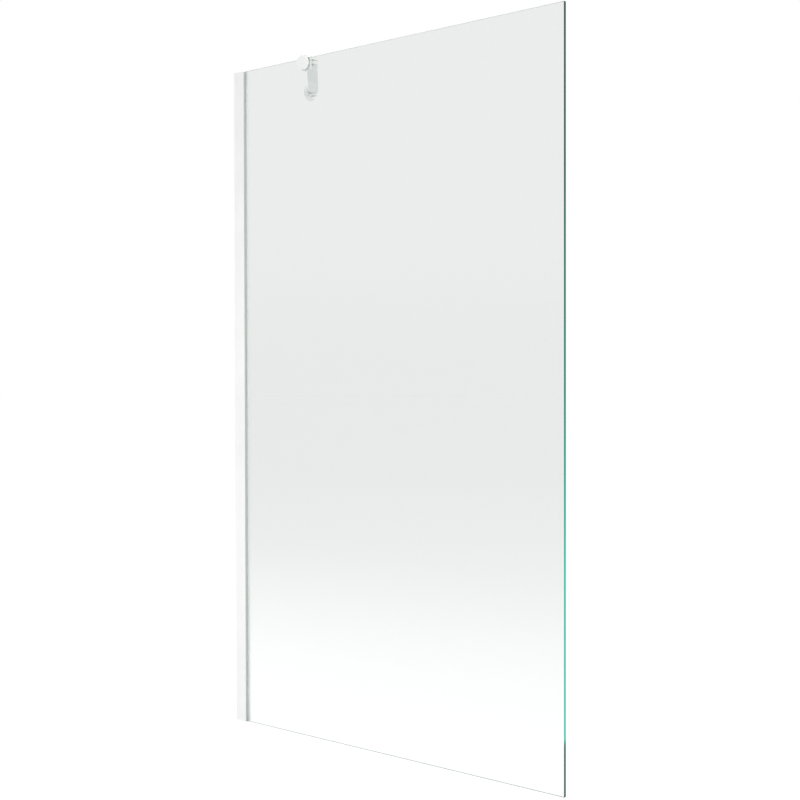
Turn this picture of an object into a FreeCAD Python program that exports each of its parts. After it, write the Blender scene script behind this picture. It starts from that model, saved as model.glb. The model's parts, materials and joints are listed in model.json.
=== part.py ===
import FreeCAD, Part
import math
import os

# Bath screen with one fixed pane, a wall profile and a swivelling wall stay. Millimetres, +Z up.
# The wall is the plane x = 0, +X runs along the pane to its free edge, the pane's middle is the
# plane y = 0, +Y points to the stay's side, and z = 0 is the bath rim that the screen stands on.

# ---- driving dimensions: pane and wall profile ----
screen_width = 850.0  # wall to the pane's free edge
screen_height = 1400.0
glass_thickness = 6.0
glass_arris = 0.6  # ground corner along the pane's edges

post_face = 31.0  # width of the wall profile, seen on the screen's face
post_depth = 17.0
post_wall = 1.5
post_corner = 1.0
post_back_gap = 0.5  # post to wall
pocket_depth = 12.0  # pocket that holds the pane
rib_height = 0.6  # ribs that key the gaskets in the pocket
rib_width = 1.0
rib_inset = 2.0  # pocket mouth to rib
gasket_recess = 0.4  # gasket face behind the pocket mouth
gasket_end_gap = 0.3  # gasket to the pocket's floor
cushion_thickness = 1.4  # strip between the pane's hidden edge and the post's web

channel_wall = 1.5
channel_play = 0.25  # channel to post, each side
channel_reach_gap = 0.6  # channel legs to the post's web
travel = 8.0  # how far the post draws out to follow a wall that isn't plumb
wall_hole_radius = 2.5
wall_hole_inset = 70.0  # end of the screen to the nearest wall screw
wall_hole_inner_span = 420.0  # between the two middle wall screws

cap_thickness = 2.0
cap_edge = 0.8
cap_slot_play = 0.1
cap_under_gap = 0.5  # channel's top end to the cap
plug_length = 12.0
plug_play = 0.3

# ---- screws that lock the post to the channel ----
lock_screw_radius = 2.0
lock_screw_x = 5.6
lock_screw_inset = 120.0  # end of the post to the first locking screw
lock_screw_count = 3
lock_slot_play = 0.15  # radial
lock_head_radius = 3.8
lock_head_height = 2.2
lock_head_edge = 0.7
lock_tip = 1.2  # screw past its nut
lock_socket_size = 1.5  # across a corner from the middle
lock_socket_depth = 1.3
lock_washer_radius = 4.8
lock_washer_thickness = 1.0
lock_nut_size = 6.8
lock_nut_thickness = 2.6
lock_nut_play = 0.1
lock_cap_play = 0.2
lock_cap_wall = 0.8
lock_cap_edge = 1.0

# ---- clamp on the pane's top edge ----
clamp_x = 210.0  # wall to the middle of the clamp
clamp_width = 22.0
clamp_rise = 4.5  # clamp above the pane's top edge
clamp_drop = 28.0  # height of its jaws
clamp_corner = 3.0
bridge_lap = 3.0  # bridge into the round jaw
bridge_gap = 0.5  # bridge to the pane's top edge
jaw_plate = 5.8  # thickness of the round jaw on the face side
rear_jaw = 6.0
pad_thickness = 1.0
pad_height = 13.5
pad_width = 20.0
pad_top_gap = 0.5  # pad below the pane's top edge
jaw_pad_gap = 0.2  # round jaw to its pad's back
plate_thickness = 1.2  # pressure plate between the grub screws and the pad
plate_border = 1.0  # pad's edge to the plate's edge
plate_play = 0.2
cover_thickness = 1.7
cover_gap = 0.3  # shadow line between jaw and cover
cover_edge = 0.9
spigot_radius = 10.5
spigot_depth = 1.0
spigot_play = 0.1
clamp_grub_radius = 3.0
clamp_grub_pitch = 11.0
clamp_grub_drop = 11.0  # pane's top edge to the grub screws
clamp_socket_size = 1.7
clamp_socket_depth = 1.8

# ---- pivot on the clamp ----
clamp_pivot_y = 22.0  # pane's middle to the pivot
lug_thickness = 5.9
lug_gap = 1.0  # nylon washer between lug and stay
axial_play = 0.05
turning_play = 0.05  # radial, pin to eye
thread_play = 0.02  # radial, screw to its thread
pivot_screw_radius = 3.0
pivot_head_radius = 5.0
pivot_head_height = 2.4
pivot_head_play = 0.3
pivot_washer_radius = 8.0
pivot_thread_depth = 4.6
pivot_socket_size = 2.3
pivot_socket_depth = 1.4

# ---- stay ----
stay_angle = 46.0  # plan angle between the stay and the pane
bar_width = 22.0
bar_thickness = 7.0
bar_wall = 1.3
bar_corner = 1.2
eye_joint = 14.0  # pivot to the bar's near end
bar_end_gap = 2.0  # open joint before the wall end fitting
shank_length = 24.0
shank_play = 0.1
shoulder_length = 20.0  # wide part of the wall end fitting
shoulder_step = 0.5  # fitting set in from the bar's faces
shoulder_corner = 2.0
knuckle_radius = 7.0
knuckle_reach = 12.0  # foot's pivot to the shoulder
stay_grub_radius = 2.0
stay_grub_inset = 9.0  # bar's end to its grub screw
stay_grub_length = 3.4
stay_grub_sink = 0.1
stay_socket_size = 1.1
stay_socket_depth = 1.2

# ---- wall foot ----
foot_pivot_x = 12.5  # wall to the foot's pivot
foot_plate_radius = 16.6
foot_plate = 4.0
foot_hole_radius = 2.25
foot_hole_span = 24.0
foot_sink_radius = 3.9
fork_radius = 8.5
fork_lug = 4.0
fork_washer = 0.8
fork_washer_radius = 6.5
pin_radius = 2.5
pin_head_radius = 4.2
pin_head_height = 1.6
pin_head_play = 0.1
pin_thread_depth = 3.0
pin_socket_size = 1.7
pin_socket_depth = 1.1
rosette_wall = 1.3
rosette_play = 0.3
rosette_edge = 1.6
rosette_back_gap = 0.3

# ---- places that follow from them ----
half_glass = glass_thickness / 2
half_post = post_depth / 2
half_pocket = half_post - post_wall
web_end = post_face - pocket_depth
web_start = web_end - post_wall
glass_start = web_end + cushion_thickness
rib_end = post_face - rib_inset
half_channel = half_pocket - channel_play
half_channel_inside = half_channel - channel_wall
channel_depth = web_start - channel_reach_gap
wall_hole_span = screen_height - 2 * wall_hole_inset
post_top = screen_height - cap_thickness
channel_top = post_top - cap_under_gap

clamp_top = screen_height + clamp_rise
clamp_bottom = clamp_top - clamp_drop
jaw_radius = clamp_drop / 2
jaw_axis_z = clamp_top - jaw_radius
pad_back = half_glass + pad_thickness
jaw_back = pad_back + jaw_pad_gap
jaw_front = jaw_back + jaw_plate
pad_top = screen_height - pad_top_gap
clamp_grub_z = screen_height - clamp_grub_drop
rear_jaw_back = pad_back + rear_jaw

lug_bottom = clamp_top - lug_thickness
bar_top = lug_bottom - lug_gap
bar_bottom = bar_top - bar_thickness
stay_axis_z = (bar_top + bar_bottom) / 2
stay_turn = 180.0 - stay_angle
pivot_span = (clamp_x - foot_pivot_x) / math.cos(math.radians(stay_angle))
foot_y = clamp_pivot_y + pivot_span * math.sin(math.radians(stay_angle))
half_bar = bar_width / 2
half_bore_width = half_bar - bar_wall
half_bore_height = bar_thickness / 2 - bar_wall
shoulder_start = pivot_span - knuckle_reach - shoulder_length
bar_end = shoulder_start - bar_end_gap
half_knuckle = bar_thickness / 2 - shoulder_step
half_slot = half_knuckle + fork_washer
half_fork = half_slot + fork_lug

X = FreeCAD.Vector(1, 0, 0)
Y = FreeCAD.Vector(0, 1, 0)
Z = FreeCAD.Vector(0, 0, 1)


def block(x0, x1, y0, y1, z0, z1):
    return Part.makeBox(x1 - x0, y1 - y0, z1 - z0, FreeCAD.Vector(x0, y0, z0))


def rod(radius, start, axis, length):
    return Part.makeCylinder(radius, length, FreeCAD.Vector(*start), axis)


def ring(outer, inner, start, axis, length):
    return rod(outer, start, axis, length).cut(rod(inner, start, axis, length))


def hexagon(size, start, axis, length):
    """A hexagonal prism whose corners lie at size from its axis."""
    corners = [
        FreeCAD.Vector(size * math.cos(k * math.pi / 3), size * math.sin(k * math.pi / 3), 0)
        for k in range(7)
    ]
    prism = Part.Face(Part.makePolygon(corners)).extrude(Z * length)
    prism.Placement = FreeCAD.Placement(
        FreeCAD.Vector(*start), FreeCAD.Rotation(Z, axis)
    )
    return prism


def edges_along(shape, axis, wanted=lambda centre: True):
    """The straight edges that run along an axis, and whose middle is wanted."""
    found = []
    for edge in shape.Edges:
        if edge.Curve.TypeId != "Part::GeomLine":
            continue
        run = edge.tangentAt(edge.FirstParameter)
        if abs(abs(run.dot(axis)) - 1) < 1e-6 and wanted(edge.CenterOfMass):
            found.append(edge)
    return found


def rim_edges(shape, axis, height):
    """The edges that lie in the plane square to an axis at a height along it."""
    found = []
    for edge in shape.Edges:
        ends = [vertex.Point.dot(axis) for vertex in edge.Vertexes]
        level = edge.CenterOfMass.dot(axis)
        if all(abs(value - height) < 1e-6 for value in ends + [level]):
            found.append(edge)
    return found


def rounded(shape, radius, edges):
    return shape.makeFillet(radius, edges) if edges else shape


def save(name, shape):
    solids = shape.Solids
    whole = solids[0] if len(solids) == 1 else Part.makeCompound(solids)
    whole.exportStep("parts/" + name + ".step")
    print(name, len(solids), "solids", round(whole.Volume, 1), "mm3", whole.isValid())


# ---- pane and wall profile ----
def glass_panel():
    pane = block(glass_start, screen_width, -half_glass, half_glass, 0, screen_height)
    return pane.makeChamfer(glass_arris, pane.Edges)


def locking_heights():
    low = lock_screw_inset
    step = (screen_height - 2 * lock_screw_inset) / (lock_screw_count - 1)
    return [low + step * k for k in range(lock_screw_count)]


def post_profile():
    body = block(post_back_gap, post_face, -half_post, half_post, 0, post_top)
    body = rounded(body, post_corner, edges_along(body, Z))
    chamber = block(post_back_gap, web_start, -half_pocket, half_pocket, 0, post_top)
    pocket = block(web_end, post_face, -half_pocket, half_pocket, 0, post_top)
    body = body.cut([chamber, pocket])
    for side in (-1, 1):
        root = side * half_pocket
        crest = side * (half_pocket - rib_height)
        low, high = sorted((root, crest))
        body = body.fuse(block(rib_end - rib_width, rib_end, low, high, 0, post_top))
    for height in locking_heights():
        start = (lock_screw_x, half_pocket - lock_tip, height)
        body = body.cut(rod(lock_screw_radius + thread_play, start, Y, post_wall + 2 * lock_tip))
    return body.removeSplitter()


def gasket(side):
    low, high = sorted((side * half_glass, side * half_pocket))
    strip = block(
        web_end + gasket_end_gap, post_face - gasket_recess, low, high, 0, post_top
    )
    low, high = sorted((side * half_pocket, side * (half_pocket - rib_height)))
    return strip.cut(block(rib_end - rib_width, rib_end, low, high, 0, post_top))


def edge_cushion():
    return block(web_end, glass_start, -half_glass, half_glass, 0, post_top)


def wall_hole_heights():
    mid = screen_height / 2
    halves = (wall_hole_span / 2, wall_hole_inner_span / 2)
    return [mid + side * half for half in halves for side in (-1, 1)]


def wall_channel():
    outer = block(0, channel_depth, -half_channel, half_channel, 0, channel_top)
    inner = block(
        channel_wall, channel_depth, -half_channel_inside, half_channel_inside, 0, channel_top
    )
    channel = outer.cut(inner)
    for height in wall_hole_heights():
        channel = channel.cut(rod(wall_hole_radius, (0, 0, height), X, channel_wall))
    slot_radius = lock_screw_radius + lock_slot_play
    for height in locking_heights():
        start = (lock_screw_x, half_channel_inside, height)
        end = (lock_screw_x + travel, half_channel_inside, height)
        slot = rod(slot_radius, start, Y, channel_wall)
        slot = slot.fuse(rod(slot_radius, end, Y, channel_wall))
        slot = slot.fuse(
            block(
                lock_screw_x,
                lock_screw_x + travel,
                half_channel_inside,
                half_channel,
                height - slot_radius,
                height + slot_radius,
            )
        )
        channel = channel.cut(slot)
    return channel.removeSplitter()


def top_end_cap():
    lid = block(post_back_gap, post_face, -half_post, half_post, post_top, screen_height)
    lid = rounded(lid, post_corner, edges_along(lid, Z))
    lid = rounded(lid, cap_edge, rim_edges(lid, Z, screen_height))
    half_slot_width = half_glass + cap_slot_play
    lid = lid.cut(
        block(
            glass_start - cap_slot_play,
            post_face,
            -half_slot_width,
            half_slot_width,
            post_top,
            screen_height,
        )
    )
    half_plug = half_channel_inside - plug_play
    plug = block(
        channel_wall + plug_play, web_start, -half_plug, half_plug, post_top - plug_length, post_top
    )
    return lid.fuse(plug).removeSplitter()


# ---- screws that lock the post to the channel ----
def at_each_lock(make):
    return Part.makeCompound([make(height) for height in locking_heights()])


def locking_screws():
    head_start = half_post + lock_washer_thickness
    head_end = head_start + lock_head_height
    tip = half_channel_inside - lock_nut_play - lock_nut_thickness - lock_tip

    def screw(height):
        head = rod(lock_head_radius, (lock_screw_x, head_start, height), Y, lock_head_height)
        head = rounded(head, lock_head_edge, rim_edges(head, Y, head_end))
        body = head.fuse(rod(lock_screw_radius, (lock_screw_x, tip, height), Y, head_start - tip))
        seat = (lock_screw_x, head_end - lock_socket_depth, height)
        return body.cut(hexagon(lock_socket_size, seat, Y, lock_socket_depth))

    return at_each_lock(screw)


def locking_washers():
    return at_each_lock(
        lambda height: ring(
            lock_washer_radius,
            lock_screw_radius + thread_play,
            (lock_screw_x, half_post, height),
            Y,
            lock_washer_thickness,
        )
    )


def locking_nuts():
    half = lock_nut_size / 2
    high = half_channel_inside - lock_nut_play
    low = high - lock_nut_thickness

    def nut(height):
        plate = block(
            lock_screw_x - half, lock_screw_x + half, low, high, height - half, height + half
        )
        bore = rod(
            lock_screw_radius + thread_play, (lock_screw_x, low, height), Y, lock_nut_thickness
        )
        return plate.cut(bore)

    return at_each_lock(nut)


def locking_caps():
    seat = half_post + lock_washer_thickness
    inner_height = lock_head_height + lock_cap_play
    inner = lock_head_radius + lock_cap_play

    def cap(height):
        start = (lock_screw_x, seat, height)
        outer_height = inner_height + lock_cap_wall
        shell = rod(inner + lock_cap_wall, start, Y, outer_height)
        shell = rounded(shell, lock_cap_edge, rim_edges(shell, Y, seat + outer_height))
        return shell.cut(rod(inner, start, Y, inner_height))

    return at_each_lock(cap)


# ---- clamp on the pane's top edge ----
def clamp_grub_places():
    return [clamp_x + side * clamp_grub_pitch / 2 for side in (-1, 1)]


def clamp_body():
    left = clamp_x - clamp_width / 2
    right = clamp_x + clamp_width / 2
    jaw = rod(jaw_radius, (clamp_x, -jaw_front, jaw_axis_z), Y, jaw_plate)
    rear = block(left, right, -jaw_back - bridge_lap, rear_jaw_back, clamp_bottom, clamp_top)
    rear = rounded(rear, clamp_corner, edges_along(rear, Y))
    throat = block(
        left, right, -jaw_back - bridge_lap, pad_back, clamp_bottom, screen_height + bridge_gap
    )
    lug = block(left, right, pad_back, clamp_pivot_y, lug_bottom, clamp_top)
    nose = rod(clamp_width / 2, (clamp_x, clamp_pivot_y, lug_bottom), Z, lug_thickness)
    body = rear.cut(throat).fuse([jaw, lug.fuse(nose)])

    recess = block(
        clamp_x - pad_width / 2 + plate_border - plate_play,
        clamp_x + pad_width / 2 - plate_border + plate_play,
        -pad_back - plate_thickness - plate_play,
        -jaw_back,
        pad_top - pad_height + plate_border - plate_play,
        pad_top - plate_border + plate_play,
    )
    body = body.cut(recess)
    body = body.cut(rod(spigot_radius, (clamp_x, -jaw_front, jaw_axis_z), Y, spigot_depth))
    for place in clamp_grub_places():
        start = (place, -jaw_front, clamp_grub_z)
        body = body.cut(rod(clamp_grub_radius + thread_play, start, Y, jaw_plate))
    bore_start = (clamp_x, clamp_pivot_y, lug_bottom)
    body = body.cut(rod(pivot_screw_radius + thread_play, bore_start, Z, pivot_thread_depth))
    return body.removeSplitter()


def clamp_cover():
    back = -jaw_front - cover_gap
    front = back - cover_thickness
    disc = rod(jaw_radius, (clamp_x, front, jaw_axis_z), Y, cover_thickness)
    disc = rounded(disc, cover_edge, rim_edges(disc, Y, front))
    reach = cover_gap + spigot_depth - spigot_play
    return disc.fuse(rod(spigot_radius - spigot_play, (clamp_x, back, jaw_axis_z), Y, reach))


def clamp_pad(side):
    low, high = sorted((side * half_glass, side * pad_back))
    half = pad_width / 2
    return block(clamp_x - half, clamp_x + half, low, high, pad_top - pad_height, pad_top)


def clamp_pressure_plate():
    half = pad_width / 2 - plate_border
    return block(
        clamp_x - half,
        clamp_x + half,
        -pad_back - plate_thickness,
        -pad_back,
        pad_top - pad_height + plate_border,
        pad_top - plate_border,
    )


def clamp_grub_screws():
    outer = -jaw_front + spigot_depth
    inner = -pad_back - plate_thickness
    screws = []
    for place in clamp_grub_places():
        body = rod(clamp_grub_radius, (place, outer, clamp_grub_z), Y, inner - outer)
        socket = hexagon(clamp_socket_size, (place, outer, clamp_grub_z), Y, clamp_socket_depth)
        screws.append(body.cut(socket))
    return Part.makeCompound(screws)


def clamp_pivot_screw():
    place = (clamp_x, clamp_pivot_y, bar_bottom)
    head = rod(pivot_head_radius, place, Z, pivot_head_height)
    reach = lug_bottom + pivot_thread_depth - bar_bottom
    body = head.fuse(rod(pivot_screw_radius, place, Z, reach))
    return body.cut(hexagon(pivot_socket_size, place, Z, pivot_socket_depth))


def clamp_pivot_washer():
    start = (clamp_x, clamp_pivot_y, bar_top + axial_play)
    inner = pivot_screw_radius + turning_play
    return ring(pivot_washer_radius, inner, start, Z, lug_gap - axial_play)


# ---- stay, built along +X from the clamp's pivot and then turned into place ----
def turned(shape):
    shape = shape.copy()
    shape.rotate(FreeCAD.Vector(0, 0, 0), Z, stay_turn)
    shape.translate(FreeCAD.Vector(clamp_x, clamp_pivot_y, 0))
    return shape


def grub_places():
    return [eye_joint + stay_grub_inset, bar_end - stay_grub_inset]


def grub_hole(place):
    start = (place, 0, bar_top - stay_grub_sink - stay_grub_length)
    reach = stay_grub_length + stay_grub_sink
    return rod(stay_grub_radius + thread_play, start, Z, reach)


def stay_bar():
    tube = block(eye_joint, bar_end, -half_bar, half_bar, bar_bottom, bar_top)
    tube = rounded(tube, bar_corner, edges_along(tube, X))
    bore = block(
        eye_joint,
        bar_end,
        -half_bore_width,
        half_bore_width,
        stay_axis_z - half_bore_height,
        stay_axis_z + half_bore_height,
    )
    return turned(tube.cut([bore] + [grub_hole(place) for place in grub_places()]))


def shank(start, end):
    half_width = half_bore_width - shank_play
    half_height = half_bore_height - shank_play
    return block(
        start, end, -half_width, half_width, stay_axis_z - half_height, stay_axis_z + half_height
    )


def stay_clamp_end():
    place = (0, 0, bar_bottom)
    eye = rod(half_bar, place, Z, bar_thickness)
    eye = eye.fuse(block(0, eye_joint, -half_bar, half_bar, bar_bottom, bar_top))
    eye = eye.removeSplitter()
    sides = [edge for edge in rim_edges(eye, Z, bar_bottom) + rim_edges(eye, Z, bar_top)]
    sides = [edge for edge in sides if edge.CenterOfMass.x < eye_joint - 1e-6]
    eye = rounded(eye, bar_corner, sides)
    eye = eye.fuse(shank(eye_joint, eye_joint + shank_length))
    sink = pivot_head_height + axial_play
    eye = eye.cut(rod(pivot_head_radius + pivot_head_play, place, Z, sink))
    eye = eye.cut(rod(pivot_screw_radius + turning_play, place, Z, bar_thickness))
    return turned(eye.cut(grub_hole(grub_places()[0])).removeSplitter())


def stay_wall_end():
    low = stay_axis_z - half_knuckle
    high = stay_axis_z + half_knuckle
    half_width = half_bar - shoulder_step
    shoulder_end = shoulder_start + shoulder_length
    shoulder = block(shoulder_start, shoulder_end, -half_width, half_width, low, high)
    corners = edges_along(shoulder, Z, lambda centre: centre.x > shoulder_end - 1e-6)
    shoulder = shoulder.makeChamfer(shoulder_corner, corners)
    neck = block(shoulder_end, pivot_span, -knuckle_radius, knuckle_radius, low, high)
    knuckle = rod(knuckle_radius, (pivot_span, 0, low), Z, high - low)
    fitting = shoulder.fuse([neck, knuckle])
    fitting = fitting.fuse(shank(bar_end - shank_length, shoulder_start))
    bore = rod(pin_radius + turning_play, (pivot_span, 0, low), Z, high - low)
    return turned(fitting.cut([bore, grub_hole(grub_places()[1])]).removeSplitter())


def stay_grub_screws():
    high = bar_top - stay_grub_sink
    screws = []
    for place in grub_places():
        body = rod(stay_grub_radius, (place, 0, high - stay_grub_length), Z, stay_grub_length)
        seat = (place, 0, high - stay_socket_depth)
        screws.append(body.cut(hexagon(stay_socket_size, seat, Z, stay_socket_depth)))
    return turned(Part.makeCompound(screws))


# ---- wall foot ----
def foot_hole_heights():
    return [stay_axis_z + side * foot_hole_span / 2 for side in (-1, 1)]


def foot_bracket():
    plate = rod(foot_plate_radius, (0, foot_y, stay_axis_z), X, foot_plate)
    for height in foot_hole_heights():
        plate = plate.cut(rod(foot_hole_radius, (0, foot_y, height), X, foot_plate))
        sink = foot_sink_radius - foot_hole_radius
        cone = Part.makeCone(
            foot_hole_radius,
            foot_sink_radius,
            sink,
            FreeCAD.Vector(foot_plate - sink, foot_y, height),
            X,
        )
        plate = plate.cut(cone)
    fork = block(
        foot_plate,
        foot_pivot_x,
        foot_y - fork_radius,
        foot_y + fork_radius,
        stay_axis_z - half_fork,
        stay_axis_z + half_fork,
    )
    nose = rod(fork_radius, (foot_pivot_x, foot_y, stay_axis_z - half_fork), Z, 2 * half_fork)
    slot = block(
        foot_plate,
        foot_pivot_x + fork_radius,
        foot_y - fork_radius,
        foot_y + fork_radius,
        stay_axis_z - half_slot,
        stay_axis_z + half_slot,
    )
    bracket = plate.fuse(fork.fuse(nose).cut(slot))
    low = stay_axis_z - half_fork
    place = (foot_pivot_x, foot_y, low)
    through = 2 * half_fork - fork_lug + pin_thread_depth
    bracket = bracket.cut(rod(pin_radius + thread_play, place, Z, through))
    bracket = bracket.cut(rod(pin_head_radius + pin_head_play, place, Z, pin_head_height))
    return bracket.removeSplitter()


def foot_pivot_pin():
    place = (foot_pivot_x, foot_y, stay_axis_z - half_fork)
    head = rod(pin_head_radius, place, Z, pin_head_height)
    body = head.fuse(rod(pin_radius, place, Z, 2 * half_fork - fork_lug + pin_thread_depth))
    return body.cut(hexagon(pin_socket_size, place, Z, pin_socket_depth))


def foot_pivot_washers():
    thickness = fork_washer - axial_play
    rings = []
    for low in (stay_axis_z - half_slot, stay_axis_z + half_slot - thickness):
        start = (foot_pivot_x, foot_y, low)
        rings.append(ring(fork_washer_radius, pin_radius + thread_play, start, Z, thickness))
    return Part.makeCompound(rings)


def foot_rosette():
    inner_radius = foot_plate_radius + rosette_play
    front_wall = foot_plate + rosette_play
    front = front_wall + rosette_wall
    start = (rosette_back_gap, foot_y, stay_axis_z)
    shell = rod(inner_radius + rosette_wall, start, X, front - rosette_back_gap)
    shell = rounded(shell, rosette_edge, rim_edges(shell, X, front))
    shell = shell.cut(rod(inner_radius, start, X, front_wall - rosette_back_gap))
    half_width = fork_radius + rosette_play
    half_height = half_fork + rosette_play
    window = block(
        front_wall,
        front,
        foot_y - half_width,
        foot_y + half_width,
        stay_axis_z - half_height,
        stay_axis_z + half_height,
    )
    return shell.cut(window)


os.makedirs("parts", exist_ok=True)
save("wall_channel", wall_channel())
save("post_profile", post_profile())
save("top_end_cap", top_end_cap())
save("glass_panel", glass_panel())
save("front_gasket", gasket(-1))
save("rear_gasket", gasket(1))
save("edge_cushion", edge_cushion())
save("locking_screws", locking_screws())
save("locking_washers", locking_washers())
save("locking_nuts", locking_nuts())
save("locking_caps", locking_caps())
save("clamp_body", clamp_body())
save("clamp_cover", clamp_cover())
save("clamp_front_pad", clamp_pad(-1))
save("clamp_rear_pad", clamp_pad(1))
save("clamp_pressure_plate", clamp_pressure_plate())
save("clamp_grub_screws", clamp_grub_screws())
save("clamp_pivot_screw", clamp_pivot_screw())
save("clamp_pivot_washer", clamp_pivot_washer())
save("stay_bar", stay_bar())
save("stay_clamp_end", stay_clamp_end())
save("stay_wall_end", stay_wall_end())
save("stay_grub_screws", stay_grub_screws())
save("foot_bracket", foot_bracket())
save("foot_rosette", foot_rosette())
save("foot_pivot_pin", foot_pivot_pin())
save("foot_pivot_washers", foot_pivot_washers())
print("stay pivot to pivot", round(pivot_span, 2), "foot pivot y", round(foot_y, 2))
print("stay axis z", round(stay_axis_z, 2), "bar end", round(bar_end, 2))
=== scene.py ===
import json
import math

import bmesh
import bpy
from mathutils import Matrix, Vector


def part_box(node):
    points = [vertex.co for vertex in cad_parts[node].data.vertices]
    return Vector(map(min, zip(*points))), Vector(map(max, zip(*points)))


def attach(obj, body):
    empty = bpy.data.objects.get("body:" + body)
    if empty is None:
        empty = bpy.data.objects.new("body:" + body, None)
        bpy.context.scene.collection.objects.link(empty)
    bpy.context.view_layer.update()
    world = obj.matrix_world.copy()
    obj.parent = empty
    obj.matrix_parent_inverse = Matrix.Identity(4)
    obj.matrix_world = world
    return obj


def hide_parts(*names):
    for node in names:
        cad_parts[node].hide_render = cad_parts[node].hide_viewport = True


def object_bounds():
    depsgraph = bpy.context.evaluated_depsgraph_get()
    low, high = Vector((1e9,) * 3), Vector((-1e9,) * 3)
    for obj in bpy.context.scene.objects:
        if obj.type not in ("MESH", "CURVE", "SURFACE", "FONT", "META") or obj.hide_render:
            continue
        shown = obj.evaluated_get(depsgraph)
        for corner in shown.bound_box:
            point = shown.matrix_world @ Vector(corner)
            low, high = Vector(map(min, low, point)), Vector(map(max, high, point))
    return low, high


# Bath screen: a clear pane in a white wall profile, steadied at the top by a short wall stay.
# Metres, in the frame of the solids: +X along the pane from the wall, +Y to the stay, +Z up.

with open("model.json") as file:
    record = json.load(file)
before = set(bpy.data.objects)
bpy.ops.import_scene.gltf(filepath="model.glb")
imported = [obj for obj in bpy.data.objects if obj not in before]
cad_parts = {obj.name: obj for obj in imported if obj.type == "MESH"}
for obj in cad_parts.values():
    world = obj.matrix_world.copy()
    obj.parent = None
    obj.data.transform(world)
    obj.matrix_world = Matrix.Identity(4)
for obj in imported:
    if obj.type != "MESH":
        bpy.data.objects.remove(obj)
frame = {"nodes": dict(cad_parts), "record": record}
cadLow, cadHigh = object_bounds()
nodes = frame["nodes"]
mm = 0.001
print("frame loaded", len(nodes), "nodes")


# small helpers
def linearColour(hexCode):  # sRGB hex to linear, with full alpha
    parts = [int(hexCode[k:k + 2], 16) / 255 for k in (1, 3, 5)]
    return [c / 12.92 if c <= 0.04045 else ((c + 0.055) / 1.055) ** 2.4 for c in parts] + [1.0]


def addNode(tree, kind, settings=None, links=None):
    node = tree.nodes.new("ShaderNode" + kind)
    for name, value in (settings or {}).items():
        if isinstance(name, int) or name in node.inputs:
            node.inputs[name].default_value = value
        else:
            setattr(node, name, value)
    for name, source in (links or {}).items():
        tree.links.new(source, node.inputs[name])
    return node


def newMaterial(name):
    material = bpy.data.materials.new(name)
    material.use_nodes = True
    material.node_tree.nodes.clear()
    return material, material.node_tree


def fillRamp(ramp, stops):  # stops are (place, hex) from low to high
    elements = ramp.color_ramp.elements
    while len(elements) < len(stops):
        elements.new(0.5)
    for element, (place, hexCode) in zip(elements, stops):
        element.position = place
        element.color = linearColour(hexCode)


def addPiece(name, shape, materials, body, replaced):
    mesh = bpy.data.meshes.new(name)
    shape.to_mesh(mesh)
    shape.free()
    for material in materials:
        mesh.materials.append(material)
    piece = bpy.data.objects.new(name, mesh)
    bpy.context.scene.collection.objects.link(piece)
    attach(piece, body)
    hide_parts(*replaced)
    return piece


def boxShape(low, high):
    shape = bmesh.new()
    size = high - low
    place = Matrix.Translation((low + high) / 2) @ Matrix.Diagonal((*size, 1))
    bmesh.ops.create_cube(shape, size=1.0, matrix=place)
    return shape


def raysOf(tree, *kinds):  # 1 for a ray of any of these kinds
    path = addNode(tree, "LightPath")
    found = path.outputs[kinds[0]]
    for kind in kinds[1:]:
        either = addNode(tree, "Math", {"operation": "MAXIMUM"}, {0: found, 1: path.outputs[kind]})
        found = either.outputs["Value"]
    return found


def mirrorOnly(tree):  # 1 for a ray that a mirror sends straight here, not one through glass
    path = addNode(tree, "LightPath")
    return addNode(
        tree, "Math", {"operation": "SUBTRACT", "use_clamp": True},
        {0: path.outputs["Is Glossy Ray"], 1: path.outputs["Is Transmission Ray"]},
    ).outputs["Value"]


lampKinds = ("Is Shadow Ray", "Is Diffuse Ray")  # light on its way between lamps and surfaces
eyeKinds = ("Is Camera Ray", "Is Glossy Ray", "Is Transmission Ray")  # seen, straight or in glass


# finishes
noiseSpan = {"From Min": 0.3, "From Max": 0.7}  # what most of a noise texture's values lie between

powderCoat = {
    "tones": [(0.30, "#EFEFEE"), (0.70, "#F4F4F3")],
    "cloudMm": 90.0,  # size of the faint thicker and thinner patches
    "peelMm": 1.3,  # orange peel of the baked powder
    "peelDepth": 0.026,  # mm
    "roughness": (0.34, 0.46),
    "ior": 1.48,
}


def makePowderCoat():
    # baked polyester powder on aluminium: satin white with a fine orange peel in its shine
    material, tree = newMaterial("powderCoatedAluminium")
    place = addNode(tree, "TexCoord").outputs["Object"]
    cloud = addNode(
        tree, "TexNoise", {"Scale": 1 / (powderCoat["cloudMm"] * mm), "Detail": 2.0}, {"Vector": place}
    )
    tone = addNode(tree, "ValToRGB", {}, {"Fac": cloud.outputs["Fac"]})
    fillRamp(tone, powderCoat["tones"])
    peel = addNode(
        tree, "TexNoise", {"Scale": 1 / (powderCoat["peelMm"] * mm), "Detail": 1.5}, {"Vector": place}
    )
    low, high = powderCoat["roughness"]
    rough = addNode(
        tree, "MapRange", {**noiseSpan, "To Min": low, "To Max": high},
        {"Value": peel.outputs["Fac"]},
    )
    bump = addNode(
        tree, "Bump", {"Strength": 1.0, "Distance": powderCoat["peelDepth"] * mm},
        {"Height": peel.outputs["Fac"]},
    )
    shader = addNode(
        tree, "BsdfPrincipled", {"IOR": powderCoat["ior"]},
        {
            "Base Color": tone.outputs["Color"],
            "Roughness": rough.outputs["Result"],
            "Normal": bump.outputs["Normal"],
        },
    )
    addNode(tree, "OutputMaterial", {}, {"Surface": shader.outputs["BSDF"]})
    return material


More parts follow.
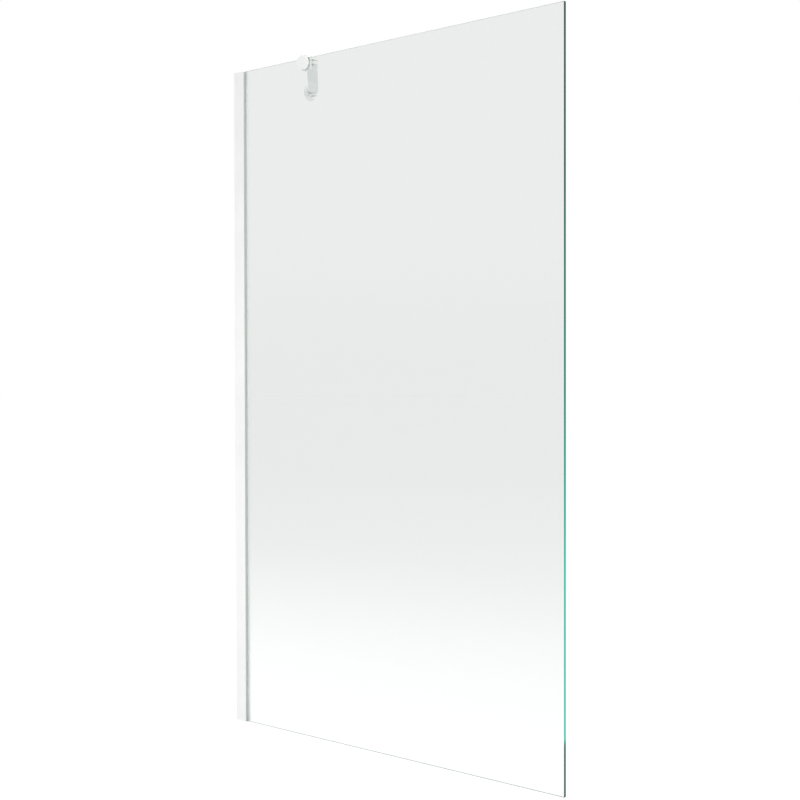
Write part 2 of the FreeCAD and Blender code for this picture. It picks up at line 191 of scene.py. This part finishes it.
mouldedAbs = {
    "tones": [(0.35, "#F0F0EF"), (0.65, "#F5F5F4")],
    "flowMm": 14.0,  # clouds where the melt flowed
    "grainMm": 0.7,  # spark-eroded mould texture
    "grainDepth": 0.012,  # mm
    "roughness": (0.28, 0.38),
    "ior": 1.53,
}


def makeMouldedAbs():
    # injection-moulded ABS: a little glossier than the coat beside it, with a fine mould grain
    material, tree = newMaterial("mouldedAbs")
    place = addNode(tree, "TexCoord").outputs["Object"]
    flow = addNode(
        tree, "TexNoise", {"Scale": 1 / (mouldedAbs["flowMm"] * mm), "Detail": 1.0}, {"Vector": place}
    )
    tone = addNode(tree, "ValToRGB", {}, {"Fac": flow.outputs["Fac"]})
    fillRamp(tone, mouldedAbs["tones"])
    grain = addNode(
        tree, "TexNoise", {"Scale": 1 / (mouldedAbs["grainMm"] * mm), "Detail": 2.0}, {"Vector": place}
    )
    low, high = mouldedAbs["roughness"]
    rough = addNode(
        tree, "MapRange", {**noiseSpan, "To Min": low, "To Max": high},
        {"Value": grain.outputs["Fac"]},
    )
    bump = addNode(
        tree, "Bump", {"Strength": 1.0, "Distance": mouldedAbs["grainDepth"] * mm},
        {"Height": grain.outputs["Fac"]},
    )
    shader = addNode(
        tree, "BsdfPrincipled", {"IOR": mouldedAbs["ior"]},
        {
            "Base Color": tone.outputs["Color"],
            "Roughness": rough.outputs["Result"],
            "Normal": bump.outputs["Normal"],
        },
    )
    addNode(tree, "OutputMaterial", {}, {"Surface": shader.outputs["BSDF"]})
    return material


gasketPvc = {
    "greyTones": [(0.30, "#B4B7B5"), (0.70, "#BDC0BE")],
    # painted light: a near-white copy of the same PVC for the rear strip, so it stays bright in the
    # shaded pocket behind the pane
    "paintedLightPaleTones": [(0.30, "#F5F7F6"), (0.70, "#FAFBFA")],
    "openShare": 0.85,  # light that passes straight through to what lies behind
    "streakMm": (0.5, 60.0),  # across and along the extrusion
    "streakDepth": 0.03,  # mm
    "roughness": (0.55, 0.72),
    "ior": 1.52,
}


def makeGasketPvc(name, tones):
    # soft PVC, extruded: matt, with fine lines drawn out along its length, and lamp light gets
    # through it, so the pocket beside the pane isn't black
    material, tree = newMaterial(name)
    place = addNode(tree, "TexCoord").outputs["Object"]
    across, along = (1 / (size * mm) for size in gasketPvc["streakMm"])
    drawn = addNode(tree, "Mapping", {"Scale": (across, across, along)}, {"Vector": place})
    streak = addNode(tree, "TexNoise", {"Scale": 1.0, "Detail": 2.0}, {"Vector": drawn.outputs["Vector"]})
    tone = addNode(tree, "ValToRGB", {}, {"Fac": streak.outputs["Fac"]})
    fillRamp(tone, tones)
    low, high = gasketPvc["roughness"]
    rough = addNode(
        tree, "MapRange", {**noiseSpan, "To Min": low, "To Max": high},
        {"Value": streak.outputs["Fac"]},
    )
    bump = addNode(
        tree, "Bump", {"Strength": 1.0, "Distance": gasketPvc["streakDepth"] * mm},
        {"Height": streak.outputs["Fac"]},
    )
    shader = addNode(
        tree, "BsdfPrincipled", {"IOR": gasketPvc["ior"]},
        {
            "Base Color": tone.outputs["Color"],
            "Roughness": rough.outputs["Result"],
            "Normal": bump.outputs["Normal"],
        },
    )
    share = addNode(
        tree, "Math", {"operation": "MULTIPLY", 1: gasketPvc["openShare"]},
        {0: raysOf(tree, *lampKinds)},
    )
    clearWay = addNode(tree, "BsdfTransparent")
    mixed = addNode(
        tree, "MixShader", {},
        {0: share.outputs["Value"], 1: shader.outputs["BSDF"], 2: clearWay.outputs["BSDF"]},
    )
    addNode(tree, "OutputMaterial", {}, {"Surface": mixed.outputs["Shader"]})
    return material


padEpdm = {
    "tones": [(0.30, "#C6C8C7"), (0.70, "#D0D2D1")],
    "grainMm": 0.5,
    "grainDepth": 0.02,  # mm
    "roughness": (0.68, 0.85),
    "ior": 1.50,
}


def makePadEpdm():
    # die-cut grey EPDM rubber: dry and matt, with the fine grain of the sheet
    material, tree = newMaterial("epdmRubber")
    place = addNode(tree, "TexCoord").outputs["Object"]
    grain = addNode(
        tree, "TexNoise", {"Scale": 1 / (padEpdm["grainMm"] * mm), "Detail": 3.0}, {"Vector": place}
    )
    tone = addNode(tree, "ValToRGB", {}, {"Fac": grain.outputs["Fac"]})
    fillRamp(tone, padEpdm["tones"])
    low, high = padEpdm["roughness"]
    rough = addNode(
        tree, "MapRange", {**noiseSpan, "To Min": low, "To Max": high},
        {"Value": grain.outputs["Fac"]},
    )
    bump = addNode(
        tree, "Bump", {"Strength": 1.0, "Distance": padEpdm["grainDepth"] * mm},
        {"Height": grain.outputs["Fac"]},
    )
    shader = addNode(
        tree, "BsdfPrincipled", {"IOR": padEpdm["ior"]},
        {
            "Base Color": tone.outputs["Color"],
            "Roughness": rough.outputs["Result"],
            "Normal": bump.outputs["Normal"],
        },
    )
    addNode(tree, "OutputMaterial", {}, {"Surface": shader.outputs["BSDF"]})
    return material


nylonWasher = {
    "tones": [(0.3, "#DEDDD4"), (0.7, "#E8E7DF")],
    "cloudMm": 3.0,
    "roughness": (0.40, 0.52),
    "glow": 0.2,  # share of light that goes in and comes out nearby
    "glowMm": 0.8,
    "ior": 1.53,
}


def makeNylon():
    # natural nylon 6: milky off-white that lets a little light in at its rim
    material, tree = newMaterial("naturalNylon")
    place = addNode(tree, "TexCoord").outputs["Object"]
    cloud = addNode(
        tree, "TexNoise", {"Scale": 1 / (nylonWasher["cloudMm"] * mm), "Detail": 2.0}, {"Vector": place}
    )
    tone = addNode(tree, "ValToRGB", {}, {"Fac": cloud.outputs["Fac"]})
    fillRamp(tone, nylonWasher["tones"])
    low, high = nylonWasher["roughness"]
    rough = addNode(
        tree, "MapRange", {"To Min": low, "To Max": high}, {"Value": cloud.outputs["Fac"]}
    )
    shader = addNode(
        tree, "BsdfPrincipled",
        {
            "IOR": nylonWasher["ior"], "Subsurface Weight": nylonWasher["glow"],
            "Subsurface Scale": nylonWasher["glowMm"] * mm,
        },
        {"Base Color": tone.outputs["Color"], "Roughness": rough.outputs["Result"]},
    )
    addNode(tree, "OutputMaterial", {}, {"Surface": shader.outputs["BSDF"]})
    return material


turnedSteel = {
    "tones": [(0.3, "#B9BCBE"), (0.7, "#CDD0D1")],
    "lineMm": 0.18,  # tool marks
    "roughness": (0.22, 0.38),
}


def makeTurnedSteel():
    # A2 stainless steel, turned and pickled: bright grey with fine tool lines
    material, tree = newMaterial("turnedStainlessSteel")
    place = addNode(tree, "TexCoord").outputs["Object"]
    line = addNode(
        tree, "TexNoise", {"Scale": 1 / (turnedSteel["lineMm"] * mm), "Detail": 1.0}, {"Vector": place}
    )
    tone = addNode(tree, "ValToRGB", {}, {"Fac": line.outputs["Fac"]})
    fillRamp(tone, turnedSteel["tones"])
    low, high = turnedSteel["roughness"]
    rough = addNode(
        tree, "MapRange", {"To Min": low, "To Max": high}, {"Value": line.outputs["Fac"]}
    )
    shader = addNode(
        tree, "BsdfPrincipled", {"Metallic": 1.0},
        {"Base Color": tone.outputs["Color"], "Roughness": rough.outputs["Result"]},
    )
    addNode(tree, "OutputMaterial", {}, {"Surface": shader.outputs["BSDF"]})
    return material


clearGlass = {
    "tint": "#EAECEB",  # what is left of white after one pass through the pane
    "shade": "#F7F9F8",  # lamp light past each of its two faces
    "waveMm": 260.0,  # roller waves of the toughening oven
    "waveDepth": 0.004,  # mm
    "smearMm": 180.0,  # patches that a wipe leaves a trace duller
    "smearSpan": (0.45, 0.8),  # noise values where a smear starts and is full
    "roughness": (0.0, 0.012),
    "ior": 1.52,
}


def makeClearGlass():
    # toughened float glass: clear, with a trace of green and faint roller waves in its mirror
    material, tree = newMaterial("toughenedGlass")
    place = addNode(tree, "TexCoord").outputs["Object"]
    wave = addNode(
        tree, "TexNoise", {"Scale": 1 / (clearGlass["waveMm"] * mm), "Detail": 0.0}, {"Vector": place}
    )
    bump = addNode(
        tree, "Bump", {"Strength": 1.0, "Distance": clearGlass["waveDepth"] * mm},
        {"Height": wave.outputs["Fac"]},
    )
    smear = addNode(
        tree, "TexNoise", {"Scale": 1 / (clearGlass["smearMm"] * mm), "Detail": 3.0}, {"Vector": place}
    )
    low, high = clearGlass["roughness"]
    start, full = clearGlass["smearSpan"]
    rough = addNode(
        tree, "MapRange", {"From Min": start, "From Max": full, "To Min": low, "To Max": high},
        {"Value": smear.outputs["Fac"]},
    )
    shader = addNode(
        tree, "BsdfPrincipled",
        {
            "Base Color": linearColour(clearGlass["tint"]), "Transmission Weight": 1.0,
            "IOR": clearGlass["ior"],
        },
        {"Roughness": rough.outputs["Result"], "Normal": bump.outputs["Normal"]},
    )
    clearWay = addNode(tree, "BsdfTransparent", {"Color": linearColour(clearGlass["shade"])})
    mixed = addNode(
        tree, "MixShader", {},
        {0: raysOf(tree, *lampKinds), 1: shader.outputs["BSDF"], 2: clearWay.outputs["BSDF"]},
    )
    addNode(tree, "OutputMaterial", {}, {"Surface": mixed.outputs["Shader"]})
    return material


glassEdge = {
    "stops": [  # height share of the pane and colour: painted reflection, a bright teal band in the lower part where the edge would mirror the floor, dark green at the foot and higher up
        (0.000, "#0C4A3D"), (0.066, "#10503F"), (0.074, "#26B79D"), (0.28, "#22B29B"),
        (0.50, "#1C8170"), (0.80, "#0C4A3C"), (1.00, "#083A2F"),
    ],
    "hazeMm": 6.0,
    "gloss": 0.3,  # fine wheel marks spread most of its mirror
    "roughness": (0.10, 0.22),
}


def makeGlassEdge(height):
    # polished glass edge: looks along the sheet, where the iron in it adds up to green; how bright that
    # green is at each height is painted reflection
    material, tree = newMaterial("glassEdgeGreenPaintedReflection")
    place = addNode(tree, "TexCoord").outputs["Object"]
    axes = addNode(tree, "SeparateXYZ", {}, {"Vector": place})
    # painted reflection: the edge's colour is picked by height alone
    share = addNode(tree, "MapRange", {"From Max": height}, {"Value": axes.outputs["Z"]})
    tone = addNode(tree, "ValToRGB", {}, {"Fac": share.outputs["Result"]})
    fillRamp(tone, glassEdge["stops"])
    haze = addNode(
        tree, "TexNoise", {"Scale": 1 / (glassEdge["hazeMm"] * mm), "Detail": 2.0}, {"Vector": place}
    )
    low, high = glassEdge["roughness"]
    rough = addNode(
        tree, "MapRange", {"To Min": low, "To Max": high}, {"Value": haze.outputs["Fac"]}
    )
    shader = addNode(
        tree, "BsdfPrincipled", {"IOR": clearGlass["ior"], "Specular IOR Level": glassEdge["gloss"]},
        {"Base Color": tone.outputs["Color"], "Roughness": rough.outputs["Result"]},
    )
    addNode(tree, "OutputMaterial", {}, {"Surface": shader.outputs["BSDF"]})
    return material


paleEdge = {"tones": [(0.3, "#DEE4E1"), (0.7, "#E6EBE9")], "hazeMm": 4.0, "roughness": (0.18, 0.32)}
# painted shade: the lower edge's copy is darker than the rim's, for the shade where the pane meets the
# floor
footEdge = {"tones": [(0.3, "#AEB6B3"), (0.7, "#B8C0BD")], "hazeMm": 4.0, "roughness": (0.18, 0.32)}


def makeGroundGlass(name, values):
    # glass that a wheel has ground: pale mint, and dull beside the clear faces; the lower edge's greyer
    # copy is painted shade
    material, tree = newMaterial(name)
    place = addNode(tree, "TexCoord").outputs["Object"]
    haze = addNode(
        tree, "TexNoise", {"Scale": 1 / (values["hazeMm"] * mm), "Detail": 3.0}, {"Vector": place}
    )
    tone = addNode(tree, "ValToRGB", {}, {"Fac": haze.outputs["Fac"]})
    fillRamp(tone, values["tones"])
    low, high = values["roughness"]
    rough = addNode(
        tree, "MapRange", {"To Min": low, "To Max": high}, {"Value": haze.outputs["Fac"]}
    )
    shader = addNode(
        tree, "BsdfPrincipled", {"IOR": clearGlass["ior"]},
        {"Base Color": tone.outputs["Color"], "Roughness": rough.outputs["Result"]},
    )
    addNode(tree, "OutputMaterial", {}, {"Surface": shader.outputs["BSDF"]})
    return material


coat = makePowderCoat()
plastic = makeMouldedAbs()
pvc = makeGasketPvc("greyExtrudedPvc", gasketPvc["greyTones"])
clearPvc = makeGasketPvc("paleExtrudedPvcPaintedLight", gasketPvc["paintedLightPaleTones"])
epdm = makePadEpdm()
nylon = makeNylon()
steel = makeTurnedSteel()
finishOf = {
    "white_powder_coat": coat, "white_plastic": plastic, "grey_gasket": pvc, "dark_pad": epdm,
    "nylon": nylon, "stainless_steel": steel,
}
for part in frame["record"]["subparts"]:
    finish = finishOf.get(part["material_slot"])
    if finish:
        nodes[part["node"]].data.materials.clear()
        nodes[part["node"]].data.materials.append(finish)
print("finishes made")


# pane
glassPane = {
    "arrisMm": 0.3,  # narrow flat that the wheel leaves along each edge
    "flatFacing": 0.99,  # a face that looks this much along Y is one of the two clear ones
    "sideFacing": 0.6,  # one that looks this much along X, and hardly up, is on an upright edge
    "levelFacing": 0.1,
    "footMm": 10.0,  # what is lower than this is on the lower edge
}


def makeGlassPane():
    low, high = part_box("glass_panel")
    shape = boxShape(low, high)
    bmesh.ops.bevel(
        shape, geom=shape.edges[:], offset=glassPane["arrisMm"] * mm, affect="EDGES",
        segments=1, profile=0.5, material=-1,
    )
    shape.normal_update()
    clearFace, uprightEdge, topEdge, lowerEdge = range(4)  # places in the list of materials
    for face in shape.faces:
        along, through, up = (abs(part) for part in face.normal)
        if through > glassPane["flatFacing"]:
            face.material_index = clearFace
        elif along > glassPane["sideFacing"] and up < glassPane["levelFacing"]:
            face.material_index = uprightEdge
        elif face.calc_center_median().z < low.z + glassPane["footMm"] * mm:
            face.material_index = lowerEdge
        else:
            face.material_index = topEdge
    materials = [
        makeClearGlass(), makeGlassEdge(high.z), makeGroundGlass("polishedGlassRim", paleEdge),
        makeGroundGlass("polishedGlassFootPaintedShade", footEdge),
    ]
    addPiece("glassPane", shape, materials, "screen", ["glass_panel"])


makeGlassPane()
print("pane made")


# gaskets between the profile's lips and the pane
gasketStrip = {
    "glassGapMm": 0.05,  # keeps its face off the pane's, so that neither flickers
    "flangeMm": 0.3,  # thickness of the flange that covers the end of the profile's lip
    "flangeInsetMm": 0.25,  # from the profile's outer face to the flange's end
    "lipMm": {"front_gasket": 0.5, "rear_gasket": 3.2},  # round corner beside the glass
    "edgeMm": 0.25,  # round corner at the flange's end
    "roundSteps": 4,
}


def smoothPiece(piece, sharpDegrees=40.0):
    for polygon in piece.data.polygons:
        polygon.use_smooth = True
    piece.data.set_sharp_from_angle(angle=math.radians(sharpDegrees))


def makeGasketStrip(name, node, finish):
    low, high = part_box(node)
    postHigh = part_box("post_profile")[1]
    side = 1 if low.y > 0 else -1
    glassSide = side * (min(abs(low.y), abs(high.y)) + gasketStrip["glassGapMm"] * mm)
    pocketSide = side * max(abs(low.y), abs(high.y))
    flangeSide = side * (postHigh.y - gasketStrip["flangeInsetMm"] * mm)
    mouth = postHigh.x
    nose = mouth + gasketStrip["flangeMm"] * mm
    outline = [
        (low.x, glassSide), (nose, glassSide), (nose, flangeSide), (mouth, flangeSide),
        (mouth, pocketSide), (low.x, pocketSide),
    ]
    shape = bmesh.new()
    face = shape.faces.new([shape.verts.new((x, y, low.z)) for x, y in outline])
    grown = bmesh.ops.extrude_face_region(shape, geom=[face])
    top = [v for v in grown["geom"] if isinstance(v, bmesh.types.BMVert)]
    bmesh.ops.translate(shape, verts=top, vec=(0, 0, high.z - low.z))
    bmesh.ops.recalc_face_normals(shape, faces=shape.faces[:])
    middle = (mouth + nose) / 2
    upright = [e for e in shape.edges if e.verts[0].co.z != e.verts[1].co.z]
    front = [e for e in upright if e.verts[0].co.x > middle]
    lip = min(front, key=lambda e: abs(e.verts[0].co.y))
    rim = max(front, key=lambda e: abs(e.verts[0].co.y))
    for edge, width in ((lip, gasketStrip["lipMm"][node]), (rim, gasketStrip["edgeMm"])):
        bmesh.ops.bevel(
            shape, geom=[edge], offset=width * mm, affect="EDGES",
            segments=gasketStrip["roundSteps"], profile=0.5, material=-1,
        )
    smoothPiece(addPiece(name, shape, [finish], "screen", [node]))


makeGasketStrip("frontGasketStrip", "front_gasket", pvc)
# the rear strip's near-white PVC is painted light in the shaded pocket behind the pane
makeGasketStrip("rearGasketStrip", "rear_gasket", clearPvc)
print("gaskets made")


# pads of the clamp
clampPad = {"glassGapMm": 0.05, "edgeMm": 0.25, "roundSteps": 2}


def makeClampPad(name, node):
    low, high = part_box(node)
    gap = clampPad["glassGapMm"] * mm
    if low.y > 0:
        low.y += gap
    else:
        high.y -= gap
    shape = boxShape(low, high)
    bmesh.ops.bevel(
        shape, geom=shape.edges[:], offset=clampPad["edgeMm"] * mm, affect="EDGES",
        segments=clampPad["roundSteps"], profile=0.5, material=-1,
    )
    smoothPiece(addPiece(name, shape, [epdm], "screen", [node]))


makeClampPad("clampFrontPad", "clamp_front_pad")
makeClampPad("clampRearPad", "clamp_rear_pad")
print("pads made")


# studio
studio = {
    "skyLight": 0.695,  # what the sky gives to the object's own surfaces
    "skyTurn": 0.2,  # more of it from +X, less from -X
    "horizonDip": 0.45,  # how much darker the sky's foot is in a mirror
    "dipHeight": 0.12,  # sine of the height where that dip ends
    "floorSize": 80.0,
    "floorDrop": 0.0004,  # floor below the lowest point
    "floorTone": "#F7FAFA",
    "floorGlow": 0.75,  # share of the floor's white that doesn't depend on the lamps
    "floorWhite": 1.12,  # strength of that white
    "paintedPoolGlow": 0.22,  # painted pool of light: extra white on the floor beside the pane
    "poolSpan": (0.2, 2.7),  # metres from the pane's plane where that white starts to fall, and ends
    "poolFall": 2.0,  # power of its fall
    "poolReach": (2.5, 5.0),  # metres from the middle of the pane where it is faded out
    "mirrorDip": 0.7,  # how much darker the far floor is in a mirror
    "mirrorReach": (1.5, 8.0),  # metres from the same middle where that starts, and is full
}


def makeWorld():
    world = bpy.data.worlds.new("studioWhite")
    world.use_nodes = True
    tree = world.node_tree
    tree.nodes.clear()
    toward = addNode(tree, "TexCoord").outputs["Generated"]
    axes = addNode(tree, "SeparateXYZ", {}, {"Vector": toward})
    light = addNode(
        tree, "Math", {"operation": "MULTIPLY_ADD", 1: studio["skyTurn"], 2: studio["skyLight"]},
        {0: axes.outputs["X"]},
    )
    strength = addNode(
        tree, "MapRange", {"To Max": 1.0},
        {"Value": raysOf(tree, *eyeKinds), "To Min": light.outputs["Value"]},
    )
    foot = addNode(
        tree, "MapRange",
        {
            "From Max": studio["dipHeight"], "To Min": studio["horizonDip"], "To Max": 0.0,
            "interpolation_type": "SMOOTHSTEP",
        },
        {"Value": axes.outputs["Z"]},
    )
    dip = addNode(
        tree, "Math", {"operation": "MULTIPLY"}, {0: foot.outputs["Result"], 1: mirrorOnly(tree)}
    )
    level = addNode(
        tree, "Math", {"operation": "SUBTRACT"}, {0: strength.outputs["Result"], 1: dip.outputs["Value"]}
    )
    sky = addNode(tree, "Background", {"Color": (1, 1, 1, 1)}, {"Strength": level.outputs["Value"]})
    addNode(tree, "OutputWorld", {}, {"Surface": sky.outputs["Background"]})
    bpy.context.scene.world = world


def makeFloor():
    shape = bmesh.new()
    bmesh.ops.create_grid(
        shape, x_segments=1, y_segments=1, size=studio["floorSize"] / 2,
        matrix=Matrix.Translation((0, 0, cadLow.z - studio["floorDrop"])),
    )
    mesh = bpy.data.meshes.new("floor")
    shape.to_mesh(mesh)
    shape.free()
    floor = bpy.data.objects.new("floor", mesh)
    bpy.context.scene.collection.objects.link(floor)
    material, tree = newMaterial("paleFloor")
    matt = addNode(tree, "BsdfDiffuse", {"Color": linearColour(studio["floorTone"])})
    place = addNode(tree, "TexCoord").outputs["Object"]
    axes = addNode(tree, "SeparateXYZ", {}, {"Vector": place})
    away = addNode(tree, "Math", {"operation": "ABSOLUTE"}, {0: axes.outputs["Y"]})
    # painted pool of light: the floor's white is stronger near the pane's plane and fades out further
    # away
    start, end = studio["poolSpan"]
    near = addNode(
        tree, "MapRange", {"From Min": start, "From Max": end, "To Min": 1.0, "To Max": 0.0},
        {"Value": away.outputs["Value"]},
    )
    reach = addNode(
        tree, "VectorMath", {"operation": "DISTANCE", 1: ((cadLow.x + cadHigh.x) / 2, 0, 0)}, {0: place}
    ).outputs["Value"]
    start, end = studio["poolReach"]
    fade = addNode(
        tree, "MapRange", {"From Min": start, "From Max": end, "To Min": 1.0, "To Max": 0.0},
        {"Value": reach},
    )
    bright = addNode(
        tree, "Math", {"operation": "POWER", 1: studio["poolFall"]}, {0: near.outputs["Result"]}
    )
    pool = addNode(
        tree, "Math", {"operation": "MULTIPLY"}, {0: bright.outputs["Value"], 1: fade.outputs["Result"]}
    )
    lit = addNode(
        tree, "Math", {"operation": "MULTIPLY_ADD", 1: studio["paintedPoolGlow"], 2: studio["floorWhite"]},
        {0: pool.outputs["Value"]},
    )
    start, end = studio["mirrorReach"]
    far = addNode(
        tree, "MapRange", {"From Min": start, "From Max": end, "To Max": studio["mirrorDip"]},
        {"Value": reach},
    )
    dip = addNode(
        tree, "Math", {"operation": "MULTIPLY"}, {0: far.outputs["Result"], 1: mirrorOnly(tree)}
    )
    level = addNode(
        tree, "Math", {"operation": "SUBTRACT"}, {0: lit.outputs["Value"], 1: dip.outputs["Value"]}
    )
    glow = addNode(tree, "Emission", {"Color": (1, 1, 1, 1)}, {"Strength": level.outputs["Value"]})
    share = addNode(
        tree, "Math", {"operation": "MULTIPLY", 1: studio["floorGlow"]}, {0: raysOf(tree, *eyeKinds)}
    )
    mixed = addNode(
        tree, "MixShader", {},
        {0: share.outputs["Value"], 1: matt.outputs["BSDF"], 2: glow.outputs["Emission"]},
    )
    addNode(tree, "OutputMaterial", {}, {"Surface": mixed.outputs["Shader"]})
    mesh.materials.append(material)


lamps = {
    "keyPanel": {"place": (3.4, -1.0, 1.3), "aim": (0.3, 0, 0.8), "size": (2.4, 2.0), "power": 24.0},
    "fillPanel": {"place": (0.3, -1.3, 0.6), "aim": (0.2, 0, 0.6), "size": (1.2, 0.8), "power": 4.6},
    "backPanel": {"place": (1.5, 3.0, 2.2), "aim": (0.3, 0, 0.8), "size": (1.8, 1.8), "power": 12.0},
    "topPanel": {"place": (0.4, -0.2, 3.4), "aim": (0.4, 0, 0), "size": (2.4, 2.4), "power": 17.0},
}


def makeLamps():
    for name, values in lamps.items():
        light = bpy.data.lights.new(name, "AREA")
        light.shape = "RECTANGLE"
        light.size, light.size_y = values["size"]
        light.energy = values["power"]
        lamp = bpy.data.objects.new(name, light)
        lamp.location = values["place"]
        toward = Vector(values["aim"]) - Vector(values["place"])
        lamp.rotation_euler = toward.to_track_quat("-Z", "Y").to_euler()
        lamp.visible_camera = False
        lamp.visible_glossy = False
        lamp.visible_transmission = False
        bpy.context.scene.collection.objects.link(lamp)


photoView = {
    "place": (2.1811, -1.9777, 0.7394),
    "turn": 40.931,  # degrees to the left of square to the pane
    "tilt": -0.894,
    "roll": -0.114,
    "lens": 60.59,
    "sensor": 36.0,
    "clipEnd": 200.0,
}


def makeCamera():
    data = bpy.data.cameras.new("photoCamera")
    data.lens = photoView["lens"]
    data.sensor_width = photoView["sensor"]
    data.clip_end = photoView["clipEnd"]
    camera = bpy.data.objects.new("photoCamera", data)
    bpy.context.scene.collection.objects.link(camera)
    turn = Matrix.Rotation(math.radians(photoView["turn"]), 4, "Z")
    tilt = Matrix.Rotation(math.radians(90 + photoView["tilt"]), 4, "X")
    roll = Matrix.Rotation(math.radians(photoView["roll"]), 4, "Z")
    camera.matrix_world = Matrix.Translation(photoView["place"]) @ turn @ tilt @ roll
    bpy.context.scene.camera = camera


makeWorld()
makeFloor()
makeLamps()
makeCamera()
bpy.context.scene.view_settings.view_transform = "Standard"
print("studio made")
